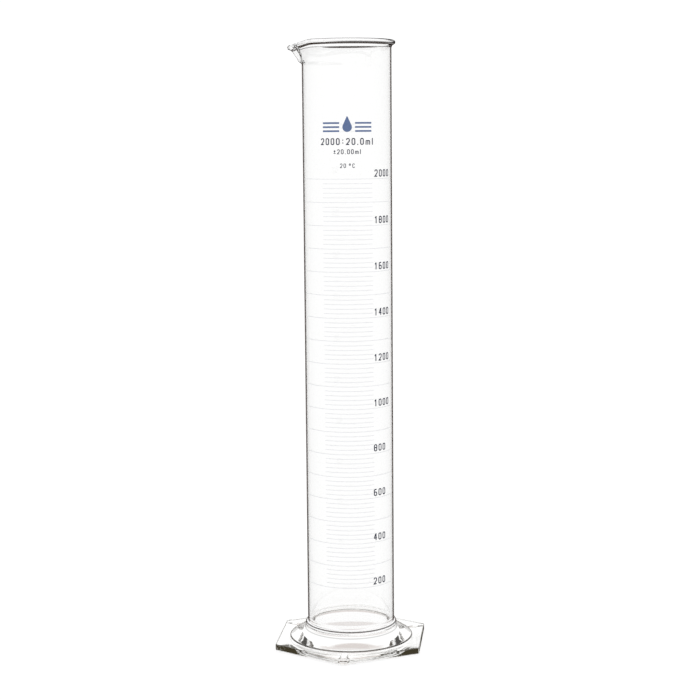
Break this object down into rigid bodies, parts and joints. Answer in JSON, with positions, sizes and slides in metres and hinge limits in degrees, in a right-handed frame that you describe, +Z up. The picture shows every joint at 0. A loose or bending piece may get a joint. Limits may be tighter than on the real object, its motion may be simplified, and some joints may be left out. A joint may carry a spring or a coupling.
{
  "type": "graduated cylinder",
  "caption": "Tall glass measuring cylinder with a beaded rim, a pouring spout, an enamel scale and a fused hexagonal glass foot.",
  "frame": {"origin": "on the surface it stands on, under the tube's axis", "axes": "+Z up along the tube, -Y out of the middle of the scale, -X out of the spout"},
  "size_m": [0.1424, 0.1544, 0.5665],
  "materials": {
    "glass": "clear, fire-polished",
    "foot_glass": "clear, pressed",
    "line_enamel": "fired enamel, satin",
    "numeral_enamel": "fired enamel, satin",
    "emblem_enamel": "fired enamel, satin"
  },
  "bodies": {
    "root": {"glass_tube": "glass", "hex_foot": "foot_glass", "long_graduations": "line_enamel", "short_graduations": "line_enamel", "numeral_200": "numeral_enamel", "numeral_400": "numeral_enamel", "numeral_600": "numeral_enamel", "numeral_800": "numeral_enamel", "numeral_1000": "numeral_enamel", "numeral_1200": "numeral_enamel", "numeral_1400": "numeral_enamel", "numeral_1600": "numeral_enamel", "numeral_1800": "numeral_enamel", "numeral_2000": "numeral_enamel", "capacity_marking": "numeral_enamel", "tolerance_marking": "numeral_enamel", "temperature_marking": "numeral_enamel", "drop_emblem": "emblem_enamel"}
  },
  "joints": []
}
